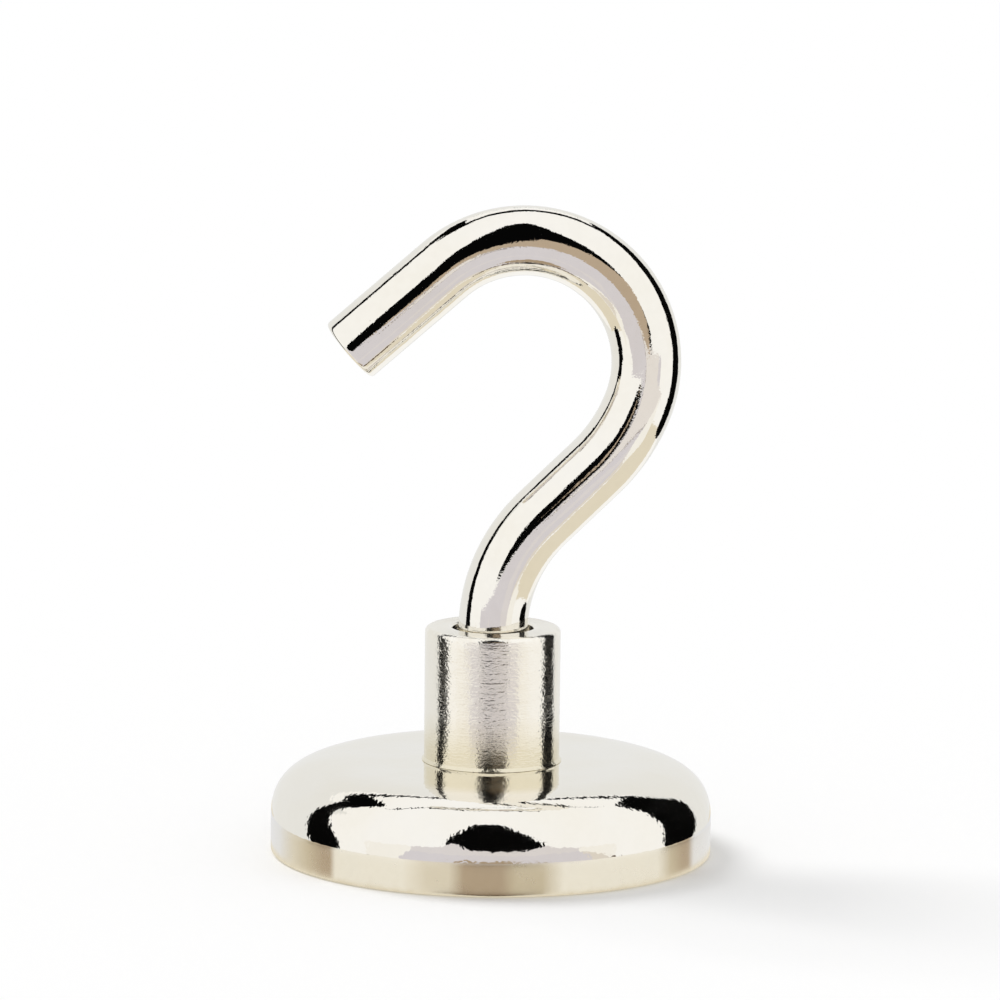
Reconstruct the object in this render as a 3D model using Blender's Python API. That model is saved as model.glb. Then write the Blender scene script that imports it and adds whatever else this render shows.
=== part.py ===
"""A small magnetic hook: a bent wire hook screwed into a turned boss on a round pot magnet.

The steel pot stands on its open rim, centred on the origin, with the boss and the hook above it.
Everything is turned about Z except the hook, whose wire lies in the plane Y = 0.
Lengths are in metres.
"""

import math

import bmesh
import bpy
from mathutils import Matrix, Vector

# Steel pot
POT_DIAMETER = 0.0140
POT_WALL = 0.0016
POT_FLOOR = 0.0011
POT_SIDE_HEIGHT = 0.00107
SHOULDER_WIDTH = 0.00268
RIM_CHAMFER = 0.00009
CAVITY_CHAMFER = 0.00012
HOLE_BREAK = 0.00005

# Magnet and the resin that holds it
MAGNET_THICKNESS = 0.00155
MAGNET_RECESS = 0.0001
MAGNET_CHAMFER = 0.00015
RESIN_RING = 0.00035
RESIN_LAYER = 0.00018
MENISCUS = 0.00012

# Turned boss: its spigot's wall and its seat on the pot make up its own wall
BOSS_HEIGHT = 0.00429
BOSS_SEAT_WIDTH = 0.00046
BOSS_TOP_ROUND = 0.000163
BOSS_FOOT_LIP = 0.00007
BOSS_FOOT_LIP_HEIGHT = 0.00005
MOUTH_CHAMFER = 0.00005
SPIGOT_WALL = 0.0004
SWAGE_FLARE = 0.0003
SWAGE_LAND = 0.0001

# Wire hook, bent from one straight length
WIRE_DIAMETER = 0.0022
THREAD_RISE = 0.00015
THREAD_RUNOUT = 0.0001
BEND_DROP = 0.00012
NECK_RADIUS = 0.00507
NECK_LENGTH = 0.002345
CHEEK_RADIUS = 0.00546
CROOK_RADIUS = 0.003845
TIP_LENGTH = 0.00396
TIP_ROUND = 0.00012
SHANK_CHAMFER = 0.0002
SHANK_STANDOFF = 0.00119

# Bends of the wire, in degrees
NECK_BEND = 45.6
CHEEK_BEND = 25.25
CROOK_BEND = 151.6

# Clearances
SEAT_GAP = 0.00002
THREAD_CLEARANCE = 0.00004

# Smoothness of the curves
MERGE_DISTANCE = 0.0000001
TURN_STEPS = 72
WIRE_SIDES = 28
DEGREES_PER_BEND_STEP = 6
SHOULDER_STEPS = 10
ROUND_STEPS = 3
SHARP_ANGLE = 30

# Shoulder outline: a power of cosine and sine below 1 is fuller than an ellipse
SHOULDER_POWER = 0.776

# Sizes that follow from those above
pot_radius = POT_DIAMETER / 2
cavity_radius = pot_radius - POT_WALL
ceiling_z = MAGNET_RECESS + MAGNET_THICKNESS + RESIN_LAYER
pot_top_z = ceiling_z + POT_FLOOR
mouth_z = pot_top_z + BOSS_HEIGHT
wire_radius = WIRE_DIAMETER / 2
thread_radius = wire_radius + THREAD_RISE
bore_radius = thread_radius + THREAD_CLEARANCE
spigot_radius = bore_radius + SPIGOT_WALL
swage_radius = spigot_radius + SWAGE_FLARE
boss_radius = spigot_radius + BOSS_SEAT_WIDTH
magnet_radius = cavity_radius - RESIN_RING


def clear_scene():
    for obj in list(bpy.data.objects):
        bpy.data.objects.remove(obj, do_unlink=True)


def metal(name, colour, roughness, metallic=1.0):
    material = bpy.data.materials.new(name)
    material.use_nodes = True
    shader = material.node_tree.nodes["Principled BSDF"]
    shader.inputs["Base Color"].default_value = (*colour, 1.0)
    shader.inputs["Roughness"].default_value = roughness
    shader.inputs["Metallic"].default_value = metallic
    return material


def finished_object(name, bm, material):
    """Turns the bmesh into a named object, shaded smooth apart from its sharp edges."""
    bmesh.ops.remove_doubles(bm, verts=bm.verts, dist=MERGE_DISTANCE)
    bmesh.ops.recalc_face_normals(bm, faces=bm.faces)
    mesh = bpy.data.meshes.new(name)
    bm.to_mesh(mesh)
    bm.free()
    mesh.shade_smooth()
    mesh.set_sharp_from_angle(angle=math.radians(SHARP_ANGLE))
    mesh.materials.append(material)
    obj = bpy.data.objects.new(name, mesh)
    bpy.context.scene.collection.objects.link(obj)
    return obj


def turned(name, outline, material):
    """A solid turned about Z from an outline of (radius, height) points.

    An outline that starts and ends on the axis is left open there, and any other is closed.
    """
    bm = bmesh.new()
    verts = [bm.verts.new((radius, 0, height)) for radius, height in outline]
    on_axis = outline[0][0] == 0 and outline[-1][0] == 0
    ends = verts[1:] if on_axis else verts[1:] + verts[:1]
    edges = [bm.edges.new(pair) for pair in zip(verts, ends)]
    bmesh.ops.spin(
        bm,
        geom=verts + edges,
        cent=(0, 0, 0),
        axis=(0, 0, 1),
        angle=math.tau,
        steps=TURN_STEPS,
        use_merge=True,
    )
    return finished_object(name, bm, material)


def arc(centre, radius, start, end, steps):
    """Points on an arc in the (radius, height) plane, from one angle in degrees to another."""
    angles = [math.radians(start + (end - start) * i / steps) for i in range(steps + 1)]
    return [(centre[0] + radius * math.cos(a), centre[1] + radius * math.sin(a)) for a in angles]


def shoulder():
    """The rounded shoulder, from the top of the straight side in to the edge of the flat face."""
    face_radius = pot_radius - SHOULDER_WIDTH
    rise = pot_top_z - POT_SIDE_HEIGHT
    points = []
    for i in range(SHOULDER_STEPS + 1):
        angle = math.pi / 2 * i / SHOULDER_STEPS
        across = max(math.cos(angle), 0) ** SHOULDER_POWER
        up = math.sin(angle) ** SHOULDER_POWER
        points.append((face_radius + SHOULDER_WIDTH * across, POT_SIDE_HEIGHT + rise * up))
    return points


def make_steel_pot(material):
    """A cup with a rounded shoulder, open below.

    The hole through its floor is countersunk from inside for the boss's swaged end.
    """
    hole_radius = spigot_radius + SEAT_GAP
    flare_radius = swage_radius + SEAT_GAP
    flare_z = ceiling_z + SWAGE_LAND + SWAGE_FLARE
    outline = [(pot_radius - RIM_CHAMFER, 0), (pot_radius, RIM_CHAMFER)]
    outline += shoulder()
    outline += [(hole_radius + HOLE_BREAK, pot_top_z), (hole_radius, pot_top_z - HOLE_BREAK)]
    outline += [(hole_radius, flare_z), (flare_radius, flare_z - SWAGE_FLARE)]
    outline += [(flare_radius, ceiling_z), (cavity_radius, ceiling_z)]
    outline += [(cavity_radius, CAVITY_CHAMFER), (cavity_radius + CAVITY_CHAMFER, 0)]
    return turned("steel_pot", outline, material)


def make_magnet_disc(material):
    low, high = MAGNET_RECESS, MAGNET_RECESS + MAGNET_THICKNESS
    outline = [
        (0, low),
        (magnet_radius - MAGNET_CHAMFER, low),
        (magnet_radius, low + MAGNET_CHAMFER),
        (magnet_radius, high - MAGNET_CHAMFER),
        (magnet_radius - MAGNET_CHAMFER, high),
        (0, high),
    ]
    return turned("magnet_disc", outline, material)


def make_resin_bond(material):
    """The resin round the magnet and above it, its open face hollowed between the two walls."""
    inner = magnet_radius + SEAT_GAP
    outer = cavity_radius - SEAT_GAP
    low = MAGNET_RECESS + MAGNET_CHAMFER
    middle = (inner + outer) / 2
    under = MAGNET_RECESS + MAGNET_THICKNESS + SEAT_GAP
    top = ceiling_z - SEAT_GAP
    outline = [(0, under), (inner, under), (inner, low), (middle, low + MENISCUS), (outer, low)]
    outline += [(outer, top), (0, top)]
    return turned("resin_bond", outline, material)


def make_threaded_boss(material):
    """A turned sleeve on the pot's face, its spigot swaged out under the pot's floor.

    The swaging presses a thin lip out round its foot.
    """
    foot_z = pot_top_z + SEAT_GAP
    land_z = ceiling_z + SWAGE_LAND
    lip_radius = boss_radius + BOSS_FOOT_LIP
    lip_z = foot_z + BOSS_FOOT_LIP_HEIGHT
    round_centre = (boss_radius - BOSS_TOP_ROUND, mouth_z - BOSS_TOP_ROUND)
    outline = [(bore_radius, ceiling_z), (swage_radius, ceiling_z), (swage_radius, land_z)]
    outline += [(spigot_radius, land_z + SWAGE_FLARE), (spigot_radius, foot_z)]
    outline += [(lip_radius, foot_z), (lip_radius, lip_z), (boss_radius, lip_z + BOSS_FOOT_LIP)]
    outline += arc(round_centre, BOSS_TOP_ROUND, 0, 90, ROUND_STEPS)
    outline += [(bore_radius + MOUTH_CHAMFER, mouth_z), (bore_radius, mouth_z - MOUTH_CHAMFER)]
    return turned("threaded_boss", outline, material)


class BentWire:
    """A round wire built as it is bent: its open end moves on through each straight and each bend."""

    def __init__(self, start, heading, radius):
        self.bm = bmesh.new()
        self.point = Vector(start)
        self.heading = heading
        bmesh.ops.create_circle(
            self.bm,
            segments=WIRE_SIDES,
            radius=radius,
            matrix=Matrix.Translation(self.point),
        )
        self.ring = list(self.bm.edges)

    def direction(self):
        """The way that the wire runs, at an angle from +X towards +Z."""
        return Vector((math.cos(self.heading), 0, math.sin(self.heading)))

    def straight(self, length, grow=0):
        """Runs on by a length, and grows by that much in radius on the way."""
        made = bmesh.ops.extrude_edge_only(self.bm, edges=self.ring)["geom"]
        verts = [part for part in made if isinstance(part, bmesh.types.BMVert)]
        for vert in verts:
            arm = vert.co - self.point
            vert.co += self.direction() * length + arm.normalized() * grow
        self.ring = [part for part in made if isinstance(part, bmesh.types.BMEdge)]
        self.point += self.direction() * length

    def bend(self, radius, degrees):
        """Bends the wire at a centreline radius, to its left where the angle is positive."""
        turn = math.radians(degrees)
        side = math.copysign(radius, degrees)
        left = Vector((-math.sin(self.heading), 0, math.cos(self.heading)))
        centre = self.point + left * side
        made = bmesh.ops.spin(
            self.bm,
            geom=self.ring + list(dict.fromkeys(vert for edge in self.ring for vert in edge.verts)),
            cent=centre,
            axis=(0, -1, 0),
            angle=turn,
            steps=math.ceil(abs(degrees) / DEGREES_PER_BEND_STEP),
        )["geom_last"]
        self.ring = [part for part in made if isinstance(part, bmesh.types.BMEdge)]
        self.heading += turn
        self.point = centre + Matrix.Rotation(turn, 3, (0, -1, 0)) @ (self.point - centre)

    def close(self, size, segments):
        """Closes the open end with a flat face and breaks its edge."""
        face = bmesh.ops.contextual_create(self.bm, geom=self.ring)["faces"][0]
        bmesh.ops.bevel(
            self.bm,
            geom=list(face.edges),
            offset=size,
            offset_type="OFFSET",
            segments=segments,
            profile=0.5,
            affect="EDGES",
            clamp_overlap=True,
            material=-1,
        )


def make_wire_hook(material):
    """The hook, from the bottom of its shank to its cut tip.

    The thread is left as the cylinder that its crests lie on, which runs out to the plain wire.
    """
    shank_end_z = ceiling_z + SHANK_STANDOFF
    bend_z = mouth_z - BEND_DROP
    envelope = bend_z - THREAD_RUNOUT - shank_end_z - SHANK_CHAMFER
    wire = BentWire((0, 0, shank_end_z), math.radians(90), thread_radius - SHANK_CHAMFER)
    bmesh.ops.contextual_create(wire.bm, geom=wire.ring)
    wire.straight(SHANK_CHAMFER, grow=SHANK_CHAMFER)
    wire.straight(envelope)
    wire.straight(THREAD_RUNOUT, grow=-THREAD_RISE)
    wire.bend(NECK_RADIUS, -NECK_BEND)
    wire.straight(NECK_LENGTH)
    wire.bend(CHEEK_RADIUS, CHEEK_BEND)
    wire.bend(CROOK_RADIUS, CROOK_BEND)
    wire.straight(TIP_LENGTH)
    wire.close(TIP_ROUND, ROUND_STEPS)
    return finished_object("wire_hook", wire.bm, material)


def make_materials():
    return {
        "pot": metal("polished_nickel", (0.84, 0.81, 0.76), 0.08),
        "boss": metal("turned_nickel", (0.83, 0.80, 0.75), 0.16),
        "wire": metal("drawn_nickel", (0.85, 0.82, 0.77), 0.1),
        "magnet": metal("magnet_nickel", (0.72, 0.71, 0.69), 0.22),
        "resin": metal("cured_resin", (0.05, 0.05, 0.055), 0.35, metallic=0.0),
    }


def hang_on_axis(obj, name):
    """Parents a moving piece to an empty on its turning axis, at the boss's mouth."""
    axis = bpy.data.objects.new(name, None)
    axis.empty_display_size = boss_radius
    axis.location = (0, 0, mouth_z)
    bpy.context.scene.collection.objects.link(axis)
    obj.parent = axis
    obj.matrix_parent_inverse = Matrix.Translation(axis.location).inverted()


def main():
    clear_scene()
    materials = make_materials()
    make_steel_pot(materials["pot"])
    make_magnet_disc(materials["magnet"])
    make_resin_bond(materials["resin"])
    make_threaded_boss(materials["boss"])
    hang_on_axis(make_wire_hook(materials["wire"]), "hook_turn_axis")


main()
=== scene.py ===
"""A small nickel-plated magnetic hook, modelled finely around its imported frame.

The file is laid out as an add-on: the property groups hold the sizes and colours that a user
would change, one operator makes each group of pieces and the panel in the sidebar lists them.
Run as a script, it makes the whole hook on its stage. All lengths are in metres, +Z is up, and
each piece has its place in its mesh.
"""

import math
from collections import namedtuple

import bmesh
import bpy
from bpy.props import FloatProperty, FloatVectorProperty, PointerProperty
from bpy.types import Operator, PropertyGroup
from mathutils import Matrix, Vector


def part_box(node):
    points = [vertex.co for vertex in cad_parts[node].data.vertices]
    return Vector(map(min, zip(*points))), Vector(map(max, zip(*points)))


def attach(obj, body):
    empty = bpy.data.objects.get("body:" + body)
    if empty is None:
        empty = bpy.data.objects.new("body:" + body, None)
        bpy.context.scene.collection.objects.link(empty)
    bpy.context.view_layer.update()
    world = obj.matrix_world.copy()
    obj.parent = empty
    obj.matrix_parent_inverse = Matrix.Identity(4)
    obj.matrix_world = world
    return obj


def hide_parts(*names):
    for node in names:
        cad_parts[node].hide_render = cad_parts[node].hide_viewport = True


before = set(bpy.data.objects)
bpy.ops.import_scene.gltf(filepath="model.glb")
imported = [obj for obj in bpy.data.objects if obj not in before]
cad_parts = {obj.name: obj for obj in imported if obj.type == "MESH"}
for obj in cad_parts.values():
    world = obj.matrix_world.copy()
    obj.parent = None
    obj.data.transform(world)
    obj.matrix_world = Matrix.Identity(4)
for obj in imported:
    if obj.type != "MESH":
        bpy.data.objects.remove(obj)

bl_info = {
    "name": "Magnetic Hook",
    "version": (1, 0, 0),
    "blender": (4, 5, 0),
    "location": "3D View > Sidebar > Magnetic Hook",
    "description": "Makes a pot magnet with a turned boss and a bent wire hook, in nickel plate",
    "category": "Object",
}

# Bodies that the pieces ride on
BASE_BODY = "magnet_base"
HOOK_BODY = "hook"

# Smoothness of the meshes
TURN_STEPS = 192
WIRE_STEPS = 96
SHOULDER_STEPS = 96
ROUND_STEPS = 6
WIRE_SPACING = 0.00009
FACE_SPACING = 0.0003
THREAD_RINGS_PER_TURN = 16
SHARP_ANGLE = math.radians(35)
EDGE_TURN = math.radians(12)
MERGE_DISTANCE = 1e-8

# Below 1, the thread's grooves are wider than its crests
GROOVE_POWER = 0.8

# Names of what the materials read from the meshes, and of each place's length along the wire
EDGE_MASK = "edge_mask"
STRAIN = "bend_strain"
WIRE_MAP = "along_wire"
RING_TONE = "ring_tone"
ALONG = "along"


def length(name, description, default):
    """A property that holds a length in metres."""
    look = {"precision": 6, "unit": "LENGTH", "subtype": "DISTANCE"}
    return FloatProperty(name=name, description=description, default=default, min=0.0, **look)


def angle(name, description, degrees):
    """A property that holds an angle, given here in degrees."""
    look = {"unit": "ROTATION", "subtype": "ANGLE"}
    return FloatProperty(name=name, description=description, default=math.radians(degrees), **look)


def colour(name, description, default):
    """A property that holds a colour."""
    return FloatVectorProperty(
        name=name, description=description, default=default, min=0.0, max=1.0, subtype="COLOR"
    )


class PotSizes(PropertyGroup):
    """Sizes of the steel pot, the magnet in it and the resin between them."""

    radius: length("Radius", "Outside radius of the pot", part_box("steel_pot")[1].x)
    top: length("Face height", "Height of the flat face over the rim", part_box("steel_pot")[1].z)
    side_height: length("Side height", "Height of the straight turned side", 0.00107)
    shoulder_width: length("Shoulder width", "From the side in to the flat face", 0.00268)
    shoulder_power: FloatProperty(
        name="Shoulder fullness", description="Below 1 is fuller than an ellipse", default=0.776
    )
    wall: length("Wall", "Thickness of the pot's wall", 0.0016)
    floor: length("Floor", "Thickness of the pot's floor", 0.0011)
    rim_round: length("Rim edge", "Rounding of the rim's two edges", 0.00009)
    hole_break: length("Hole edge", "Broken edge of the hole for the boss", 0.00005)
    magnet_round: length("Magnet edge", "Rounding of the magnet's edges", 0.00015)
    meniscus: length("Meniscus", "How far the resin sinks between its walls", 0.00012)


class BossSizes(PropertyGroup):
    """Sizes of the turned boss on the pot's face."""

    radius: length("Radius", "Outside radius of the boss", 0.00215)
    top_round: length("Top edge", "Rounding of the boss's top edge", 0.000163)
    bore_radius: length("Bore", "Radius of the bore that holds the shank", 0.00129)
    mouth_chamfer: length("Mouth chamfer", "Chamfer at the mouth of the bore", 0.00005)
    spigot_radius: length("Spigot", "Radius of the spigot in the pot's floor", 0.00169)
    swage_flare: length("Swaged end", "How far the spigot's end is spread", 0.0003)
    swage_land: length("Swaged land", "Straight part of the swaged end", 0.0001)
    lip: length("Foot lip", "How far the foot's lip stands out", 0.00007)
    lip_height: length("Foot lip height", "Height of the lip's straight edge", 0.00003)
    lip_drop: length("Foot lip drop", "How far the lip's edge hangs below the seat", 0.000017)
    seat_gap: length("Seat gap", "Gap between seated pieces", 0.00002)


class WireSizes(PropertyGroup):
    """Sizes of the wire hook, in the order in which it is bent."""

    radius: length("Radius", "Radius of the plain wire", 0.0011)
    thread_radius: length("Thread", "Radius over the thread's crests", 0.00125)
    thread_depth: length("Thread depth", "From the thread's crests to its roots", 0.000276)
    thread_pitch: length("Pitch", "Rise of the thread in one turn", 0.00045)
    runout: length("Run-out", "Length over which the thread fades out", 0.00035)
    shank_chamfer: length("Shank chamfer", "Chamfer at the shank's end", 0.0002)
    bend_drop: length("Bend drop", "From the boss's mouth down to the first bend", 0.00012)
    neck_radius: length("Neck radius", "Centreline radius of the neck's bend", 0.00507)
    neck_bend: angle("Neck bend", "Angle of the neck's bend", 45.6)
    neck_length: length("Neck length", "Straight wire after the neck's bend", 0.002345)
    cheek_radius: length("Cheek radius", "Centreline radius before the crook", 0.00546)
    cheek_bend: angle("Cheek bend", "Angle of the bend before the crook", 25.25)
    crook_radius: length("Crook radius", "Centreline radius of the crook", 0.003845)
    crook_bend: angle("Crook bend", "Angle of the crook", 151.6)
    tip_length: length("Tip length", "Straight wire after the crook", 0.00396)
    tip_round: length("Tip edge", "Rounding of the cut tip's edge", 0.00012)


class Finishes(PropertyGroup):
    """Colours of the plating and the other surfaces."""

    polished: colour("Polished nickel", "The pot's pressed face and shoulder", (0.92, 0.895, 0.84))
    turned: colour("Turned nickel", "The boss and the pot's side", (0.93, 0.885, 0.79))
    drawn: colour("Drawn nickel", "The wire", (0.92, 0.895, 0.84))
    warm: colour("Warm nickel", "Slightly yellower patches in the plate", (0.905, 0.87, 0.79))
    worn: colour("Worn edge", "Edges that handling has rubbed bright", (0.96, 0.93, 0.86))
    magnet: colour("Magnet nickel", "The magnet's face", (0.72, 0.71, 0.69))
    # The foot tone is a painted warm reflection, laid on the boss's plate towards its foot
    foot_reflection_tint: colour("Foot stain", "What stains the boss towards its foot", (0.9, 0.87, 0.76))
    resin: colour("Resin", "The resin round the magnet", (0.04, 0.04, 0.045))
    resin_light: colour("Pale resin", "Cloudy patches in the resin", (0.09, 0.085, 0.08))


# Meshes


def mark_edges(bm):
    """Gives every vertex a mask of how sharply the surface turns there, for worn edges."""
    mask = bm.verts.layers.float.new(EDGE_MASK)
    for edge in bm.edges:
        turn = edge.calc_face_angle_signed(0)
        for vert in edge.verts:
            vert[mask] = max(vert[mask], min(turn / EDGE_TURN, 1))


def placed(name, bm, materials):
    """Turns the bmesh into an object in the scene, named like its mesh."""
    mesh = bpy.data.meshes.new(name)
    bm.to_mesh(mesh)
    bm.free()
    for material in materials:
        mesh.materials.append(material)
    thing = bpy.data.objects.new(name, mesh)
    bpy.context.scene.collection.objects.link(thing)
    return thing


def finished_piece(name, bm, materials, body, node):
    """Turns the bmesh into a smooth piece that stands for a node and rides on its body."""
    bmesh.ops.remove_doubles(bm, verts=bm.verts, dist=MERGE_DISTANCE)
    bmesh.ops.recalc_face_normals(bm, faces=bm.faces)
    mark_edges(bm)
    piece = placed(name, bm, materials)
    piece.data.shade_smooth()
    piece.data.set_sharp_from_angle(angle=SHARP_ANGLE)
    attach(piece, body)
    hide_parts(node)


def spun(outline, steps):
    """A bmesh turned about Z from an outline of (radius, height) points.

    An outline that starts and ends on the axis is left open there, and any other is closed.
    """
    bm = bmesh.new()
    verts = [bm.verts.new((radius, 0, height)) for radius, height in outline]
    on_axis = outline[0][0] == 0 and outline[-1][0] == 0
    ends = verts[1:] if on_axis else verts[1:] + verts[:1]
    edges = [bm.edges.new(pair) for pair in zip(verts, ends)]
    whole_turn = {"cent": (0, 0, 0), "axis": (0, 0, 1), "angle": math.tau, "use_merge": True}
    bmesh.ops.spin(bm, geom=verts + edges, steps=steps, **whole_turn)
    return bm


def arc(centre, radius, start, end):
    """Points on an arc in the (radius, height) plane, from one angle in degrees to another."""
    step = (end - start) / ROUND_STEPS
    turns = [math.radians(start + step * i) for i in range(ROUND_STEPS + 1)]
    return [(centre[0] + radius * math.cos(t), centre[1] + radius * math.sin(t)) for t in turns]


def steps_between(start, end, spacing):
    """Even steps from one value to another, at most a spacing apart, without the first."""
    count = max(1, math.ceil(abs(end - start) / spacing))
    return [start + (end - start) * (i + 1) / count for i in range(count)]


# The pot, the magnet and the resin


def pot_outline(pot, boss):
    """The pot's outline from its rim over the shoulder and the face, then back through the cup."""
    ceiling = pot.top - pot.floor
    cavity = pot.radius - pot.wall
    hole = boss.spigot_radius + boss.seat_gap
    flare = hole + boss.swage_flare
    flare_top = ceiling + boss.swage_land + boss.swage_flare
    edge = pot.rim_round
    outline = arc((pot.radius - edge, edge), edge, -90, 0)
    outline += [(pot.radius, z) for z in steps_between(edge, pot.side_height, FACE_SPACING)]
    face_radius = pot.radius - pot.shoulder_width
    rise = pot.top - pot.side_height
    for i in range(1, SHOULDER_STEPS + 1):
        turn = math.pi / 2 * i / SHOULDER_STEPS
        across = max(math.cos(turn), 0) ** pot.shoulder_power
        up = math.sin(turn) ** pot.shoulder_power
        outline.append((face_radius + pot.shoulder_width * across, pot.side_height + rise * up))
    hole_edge = hole + pot.hole_break
    outline += [(r, pot.top) for r in steps_between(face_radius, hole_edge, FACE_SPACING)]
    outline += [(hole, pot.top - pot.hole_break), (hole, flare_top)]
    outline += [(flare, flare_top - boss.swage_flare), (flare, ceiling), (cavity, ceiling)]
    outline += arc((cavity + edge, edge), edge, 180, 270)
    return outline


class PIECE_OT_steel_pot(Operator):
    """Make the pressed steel pot"""

    bl_idname = "magnetic_hook.steel_pot"
    bl_label = "Steel Pot"

    def execute(self, context):
        scene = context.scene
        pot = scene.hook_pot
        bm = spun(pot_outline(pot, scene.hook_boss), TURN_STEPS)
        finishes = scene.hook_finishes
        turned = turned_nickel("turned_nickel_side", finishes, SIDE_CUT)
        materials = [polished_nickel(finishes), turned]
        for face in bm.faces:
            if face.calc_center_median().z < pot.side_height:
                face.material_index = materials.index(turned)
        finished_piece("pot_shell", bm, materials, BASE_BODY, "steel_pot")
        return {"FINISHED"}


def magnet_outline(pot):
    """The magnet disc's outline, from the axis at its lower face round to its upper one."""
    low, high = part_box("magnet_disc")
    edge = pot.magnet_round
    outline = [(0, low.z)]
    outline += arc((high.x - edge, low.z + edge), edge, -90, 0)
    outline += arc((high.x - edge, high.z - edge), edge, 0, 90)
    outline += [(0, high.z)]
    return outline


def resin_outline(pot, boss):
    """The resin's outline: a layer over the magnet and a ring round it that sinks below."""
    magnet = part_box("magnet_disc")[1]
    low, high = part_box("resin_bond")
    inner = magnet.x + boss.seat_gap
    layer = magnet.z + boss.seat_gap
    outline = [(0, layer), (inner, layer)]
    for i in range(2 * ROUND_STEPS + 1):
        part = i / (2 * ROUND_STEPS)
        sink = pot.meniscus * 4 * part * (1 - part)
        outline.append((inner + (high.x - inner) * part, low.z + sink))
    outline += [(high.x, high.z), (0, high.z)]
    return outline


class PIECE_OT_magnet(Operator):
    """Make the magnet disc and the resin that holds it"""

    bl_idname = "magnetic_hook.magnet"
    bl_label = "Magnet and Resin"

    def execute(self, context):
        scene = context.scene
        pot = scene.hook_pot
        material = magnet_nickel(scene.hook_finishes)
        bm = spun(magnet_outline(pot), TURN_STEPS)
        finished_piece("magnet", bm, [material], BASE_BODY, "magnet_disc")
        material = cured_resin(scene.hook_finishes)
        bm = spun(resin_outline(pot, scene.hook_boss), TURN_STEPS)
        finished_piece("resin", bm, [material], BASE_BODY, "resin_bond")
        return {"FINISHED"}


# The boss


def boss_outline(boss):
    """The boss's outline from its swaged end up its outside, over the top and down its bore."""
    low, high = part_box("threaded_boss")
    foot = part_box("steel_pot")[1].z + boss.seat_gap
    flared = boss.spigot_radius + boss.swage_flare
    land = low.z + boss.swage_land
    lip = boss.radius + boss.lip
    lip_round = boss.lip_height / 2
    outline = [(boss.bore_radius, low.z), (flared, low.z), (flared, land)]
    outline += [(boss.spigot_radius, land + boss.swage_flare), (boss.spigot_radius, foot)]
    outline += arc((lip - lip_round, foot - boss.lip_drop + lip_round), lip_round, -90, 45)
    outline += [(boss.radius, foot + boss.lip_height + boss.lip)]
    top = (boss.radius - boss.top_round, high.z - boss.top_round)
    outline += [(boss.radius, z) for z in steps_between(outline[-1][1], top[1], FACE_SPACING)]
    outline += arc(top, boss.top_round, 0, 90)[1:]
    mouth = boss.bore_radius + boss.mouth_chamfer
    outline += [(r, high.z) for r in steps_between(top[0], mouth, FACE_SPACING)]
    outline += [(boss.bore_radius, high.z - boss.mouth_chamfer)]
    return outline


class PIECE_OT_boss(Operator):
    """Make the turned boss"""

    bl_idname = "magnetic_hook.boss"
    bl_label = "Turned Boss"

    def execute(self, context):
        scene = context.scene
        bm = spun(boss_outline(scene.hook_boss), TURN_STEPS)
        finishes = scene.hook_finishes
        material = turned_nickel("turned_nickel_plate", finishes, BOSS_CUT)
        # Yellows the boss towards its foot: a painted warm reflection
        paint_foot_reflection(material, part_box("steel_pot")[1].z, finishes.foot_reflection_tint)
        finished_piece("boss", bm, [material], BASE_BODY, "threaded_boss")
        return {"FINISHED"}


# The wire hook


def wire_lengths(wire):
    """Where the straight wire starts, where each of its bends starts and where it ends."""
    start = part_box("wire_hook")[0].z
    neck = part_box("threaded_boss")[1].z - wire.bend_drop
    cheek = neck + wire.neck_radius * wire.neck_bend + wire.neck_length
    crook = cheek + wire.cheek_radius * wire.cheek_bend
    end = crook + wire.crook_radius * wire.crook_bend + wire.tip_length
    return start, neck, cheek, crook, end


def straight_wire(wire):
    """The wire as it is cut and turned, before its thread is rolled and it is bent."""
    start, neck, _, _, end = wire_lengths(wire)
    shank = wire.thread_radius
    chamfer = wire.shank_chamfer
    edge = wire.tip_round
    spacing = wire.thread_pitch / THREAD_RINGS_PER_TURN
    last = neck - wire.runout
    outline = [(0, start), (shank - chamfer, start), (shank, start + chamfer)]
    outline += [(shank, z) for z in steps_between(start + chamfer, last, spacing)]
    for z in steps_between(last, neck, spacing):
        outline.append((shank + (wire.radius - shank) * (z - last) / wire.runout, z))
    outline += [(wire.radius, z) for z in steps_between(neck, end - edge, WIRE_SPACING)]
    outline += arc((wire.radius - edge, end - edge), edge, 0, 90)[1:]
    outline.append((0, end))
    return spun(outline, WIRE_STEPS)


def roll_thread(bm, wire):
    """Rolls a right-handed thread into the shank, which fades in at its end and out at the neck."""
    start, neck, _, _, _ = wire_lengths(wire)
    first = start + wire.shank_chamfer
    for vert in bm.verts:
        x, y, z = vert.co
        across = math.hypot(x, y)
        if z > neck or z <= start or across == 0:
            continue
        turns = (z - first) / wire.thread_pitch - math.atan2(y, x) / math.tau
        groove = (1 - math.cos(math.tau * turns)) / 2
        fade = min(1, (z - start) / wire.shank_chamfer) * min(1, (neck - z) / wire.runout)
        depth = min(wire.thread_depth * groove ** GROOVE_POWER * fade, across)
        vert.co.x -= x / across * depth
        vert.co.y -= y / across * depth


def map_wire(bm, wire):
    """Lays a map on the straight wire: metres along it, and metres round it."""
    layer = bm.loops.layers.uv.new(WIRE_MAP)
    for face in bm.faces:
        middle = face.calc_center_median()
        middle_turn = math.atan2(middle.y, middle.x)
        for loop in face.loops:
            x, y, z = loop.vert.co
            turn = math.atan2(y, x) if math.hypot(x, y) > MERGE_DISTANCE else middle_turn
            turn += math.tau * round((middle_turn - turn) / math.tau)
            loop[layer].uv = (z, turn * wire.radius)


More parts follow.
